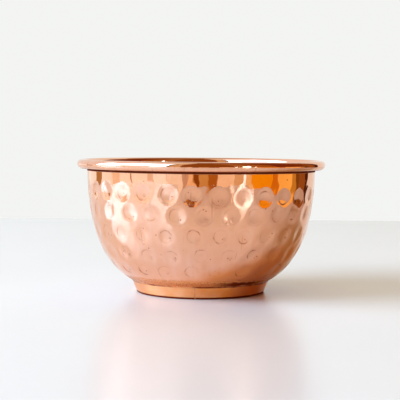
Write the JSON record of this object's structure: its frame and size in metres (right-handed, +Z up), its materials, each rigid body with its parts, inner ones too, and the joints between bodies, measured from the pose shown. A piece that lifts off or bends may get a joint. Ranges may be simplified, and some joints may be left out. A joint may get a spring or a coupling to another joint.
{
  "type": "hammered copper bowl",
  "caption": "Round hammered copper bowl with a smooth collar, a wired rolled rim and a low tapered foot ring brazed under it.",
  "frame": {"origin": "centre of the foot ring's flat underside, which rests on z = 0", "axes": "+Z up along the bowl's axis of turning, -Y towards the front, where the foot's seam is"},
  "size_m": [0.12, 0.12, 0.0641],
  "materials": {
    "polished_copper": "mirror polished copper over the hammer marks, thin clear lacquer",
    "satin_copper": "copper brushed round the hoop, satin",
    "wire_steel": "drawn steel wire",
    "braze": "wiped brass filler"
  },
  "bodies": {
    "root": {"bowl_body": "polished_copper", "rim_wire": "wire_steel", "foot_ring": "satin_copper", "foot_seam_braze": "braze", "foot_joint_braze": "braze"}
  },
  "joints": []
}
